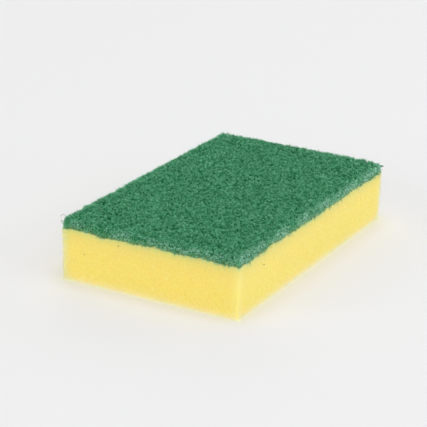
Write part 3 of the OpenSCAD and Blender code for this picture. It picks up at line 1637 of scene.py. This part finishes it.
@dataclass(frozen=True)
class StrayHairs:
    """The few loose hairs that stand off the pad's corners, and take its material."""

    pad: ScouringPad
    hairs: tuple[Stray, ...] = (
        Stray(((-74.3, 43.0, 29.4), (-75.0, 43.4, 32.0), (-75.0, 44.8, 31.2), (-75.1, 46.2, 29.5)), 0.09),
        Stray(((-74.4, 44.0, 27.2), (-75.3, 45.2, 28.6), (-75.3, 45.9, 27.9), (-75.0, 45.1, 27.3)), 0.08),
        Stray(((-74.6, 44.4, 26.0), (-75.0, 45.2, 27.0), (-75.0, 45.3, 28.0), (-74.9, 44.8, 28.8)), 0.09),
        Stray(((74.3, -44.4, 27.0), (74.9, -44.8, 27.4), (75.3, -45.0, 27.3), (75.8, -45.3, 26.9)), 0.30),
        Stray(((74.2, -44.4, 27.3), (74.9, -44.9, 27.8), (75.2, -45.2, 27.5), (75.5, -45.5, 27.0)), 0.26),
        Stray(((74.4, -44.2, 26.8), (75.1, -44.6, 26.8), (75.6, -44.8, 26.9), (76.1, -45.0, 27.2)), 0.20),
        Stray(((74.2, -44.2, 25.6), (74.9, -44.8, 25.9), (75.2, -45.0, 25.6), (75.6, -45.2, 25.2)), 0.10),
    )
    rings: int = 9
    taper: Span = (1.1, 0.7)
    shade: float = 0.1
    across: Place = (0.3, 0.2, 1.0)

    def build(self) -> Piece:
        """Makes the hairs.

        Returns:
            The hairs' object.
        """
        paths = np.stack([hair.path(self.rings) for hair in self.hairs])
        across = np.broadcast_to(np.array(self.across), paths.shape)
        radius = np.array([hair.radius for hair in self.hairs])[:, None]
        points, faces, uv = tubes(paths, across, radius * np.linspace(*self.taper, self.rings))
        piece = write_mesh("web_stray_hairs", points, faces, uv)
        self.pad.dress(piece, np.full(len(points), self.shade), np.zeros(len(points)))
        return piece


# Round the sponge


def direction(azimuth: float, elevation: float) -> Vector:
    """The way from the sponge to something at an azimuth, 0 at -Y and 90 at +X, and elevation."""
    a, e = math.radians(azimuth), math.radians(elevation)
    return Vector((math.sin(a) * math.cos(e), -math.cos(a) * math.cos(e), math.sin(e)))


@dataclass(frozen=True)
class Softbox:
    """A square white lamp that faces the sponge.

    Its share is the part of a white surface's brightness that it gives where it is faced.
    """

    name: str
    azimuth: float
    elevation: float
    share: float
    distance: float = 2.5
    size: float = 1.8

    def build(self) -> None:
        """Makes the lamp."""
        light = bpy.data.lights.new(self.name, "AREA")
        light.size = self.size
        light.energy = self.share * (math.pi * self.distance) ** 2
        lamp = bpy.data.objects.new(self.name, light)
        away = direction(self.azimuth, self.elevation)
        lamp.location = away * self.distance
        lamp.rotation_euler = away.to_track_quat("Z", "Y").to_euler()
        bpy.context.scene.collection.objects.link(lamp)


@dataclass(frozen=True)
class View:
    """The camera: where it stands round its aim, its small tilt, its lens and what it reaches."""

    azimuth: float = -61.7
    elevation: float = 20.32
    tilt: float = 1.44
    distance: float = 0.8090
    aim: Place = (-0.0035, 0.0068, 0.01658)
    lens: float = 144.30
    clip: Span = (0.01, 50.0)

    def build(self) -> None:
        """Makes the camera and looks through it."""
        data = bpy.data.cameras.new("camera")
        data.lens = self.lens
        data.clip_start, data.clip_end = self.clip
        camera = bpy.data.objects.new("camera", data)
        back = direction(self.azimuth, self.elevation)
        place = Matrix.Translation(Vector(self.aim) + back * self.distance)
        turn = back.to_track_quat("Z", "Y").to_matrix().to_4x4()
        camera.matrix_world = place @ turn @ Matrix.Rotation(math.radians(self.tilt), 4, "Z")
        bpy.context.scene.collection.objects.link(camera)
        bpy.context.scene.camera = camera


@dataclass(frozen=True)
class Studio:
    """A pale floor under a pale, even sky, with soft lamps.

    Near the foam the floor shows some of the light that leaks through the foam's foot, out to
    about leak_reach from the foam's box. Sizes here are in metres.
    """

    foam_box: tuple[Vector, Vector]
    floor_size: float = 6.0
    floor_colour: Colour = (0.820, 0.820, 0.824)
    floor_roughness: float = 0.9
    floor_glow: float = 0.18
    leak_colour: Colour = (0.930, 0.910, 0.390)
    leak: float = 0.34
    leak_reach: float = 0.0023
    sky_share: float = 0.320
    lamps: tuple[Softbox, ...] = (
        Softbox("wall_left", -122, 12, 0.423),
        Softbox("wall_front", -62, 12, 0.255),
        Softbox("wall_right", -2, 12, 0.224),
        Softbox("wall_far_right", 58, 12, 0.202),
        Softbox("wall_back", 118, 12, 0.266),
        Softbox("high_right", -2, 45, 0.133),
        Softbox("high_back", 118, 45, 0.106),
        Softbox("ceiling", 0, 88, 0.416),
    )

    def build(self) -> None:
        """Makes the floor, the sky and the lamps."""
        self.floor()
        self.sky()
        for lamp in self.lamps:
            lamp.build()

    def floor(self) -> None:
        """Makes the floor, which the sponge's light and shade fall on."""
        x = y = self.floor_size / 2
        mesh = bpy.data.meshes.new("floor")
        mesh.from_pydata([(-x, -y, 0), (x, -y, 0), (x, y, 0), (-x, y, 0)], [], [(0, 1, 2, 3)])
        floor = bpy.data.objects.new("floor", mesh)
        bpy.context.scene.collection.objects.link(floor)
        coat = Coat(
            "floor",
            Base_Color=self.floor_colour,
            Roughness=self.floor_roughness,
            Specular_IOR_Level=0.0,
        )
        glowing = coat.math("MULTIPLY", coat.seen, self.floor_glow)
        glow = coat.glow("ShaderNodeEmission", self.floor_colour)
        surface = coat.shaders(glowing, coat.shader.outputs[0], glow)
        leak = coat.glow("ShaderNodeEmission", self.leak_colour)
        surface = coat.shaders(self.leaking(coat), surface, leak)
        coat.link(surface, coat.tree.nodes["Material Output"], "Surface")
        mesh.materials.append(coat.material)

    def leaking(self, coat: Coat) -> Socket:
        """The share of leaked light that the camera sees, which falls off from the foam's box.

        Args:
            coat: The floor's nodes.

        Returns:
            The share, from 0 to 1.
        """
        nothing = (0, 0, 0)
        corner = self.foam_box[1]
        away = coat.place
        for operation, other in (
            ("ABSOLUTE", nothing),
            ("SUBTRACT", (corner.x, corner.y, 0)),
            ("MAXIMUM", nothing),
            ("LENGTH", nothing),
        ):
            node = coat.add("ShaderNodeVectorMath", operation=operation)
            node.inputs[1].default_value = other
            coat.link(away, node, 0)
            away = node.outputs["Value" if operation == "LENGTH" else "Vector"]
        share = coat.math("EXPONENT", coat.math("MULTIPLY", away, -1 / self.leak_reach))
        return coat.math("MULTIPLY", coat.math("MULTIPLY", share, self.leak), coat.seen)

    def sky(self) -> None:
        """Makes the sky: an even light, which the camera sees in the floor's own colour."""
        world = bpy.data.worlds.new("sky")
        world.use_nodes = True
        world.node_tree.nodes.clear()
        nodes = Nodes(world.node_tree)
        light = nodes.glow("ShaderNodeBackground", (1.0, 1.0, 1.0), self.sky_share)
        shown = nodes.glow("ShaderNodeBackground", self.floor_colour)
        out = nodes.add("ShaderNodeOutputWorld")
        nodes.link(nodes.shaders(nodes.seen, light, shown), out, "Surface")
        bpy.context.scene.world = world


def report(piece: Piece) -> None:
    """Logs a piece's name and size.

    Args:
        piece: The piece.
    """
    mesh = piece.data
    mesh.calc_loop_triangles()
    log.info("%s: %d vertices, %d triangles", piece.name, len(mesh.vertices), len(mesh.loop_triangles))


def main() -> None:
    """Builds the sponge and what stands round it."""
    logging.basicConfig(level=logging.INFO, format="%(name)s: %(message)s")
    bpy.context.scene.view_settings.view_transform = "Standard"
    foam_box, pad_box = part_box("foam_block"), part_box("scouring_pad")
    View().build()
    Studio(foam_box).build()
    bond = Bond(height=foam_box[1].z / MM)
    block = FoamBlock(foam_box, bond)
    report(block.build())
    report(Crumbs(block).build())
    report(Whiskers(block).build())
    pad = ScouringPad(pad_box, bond)
    report(pad.body())
    for number, batch in enumerate(pad.batches, 1):
        report(pad.strands(batch, number))
    for batch in pad.rim:
        report(pad.ends(batch))
    report(StrayHairs(pad).build())


if __name__ == "__main__":
    main()
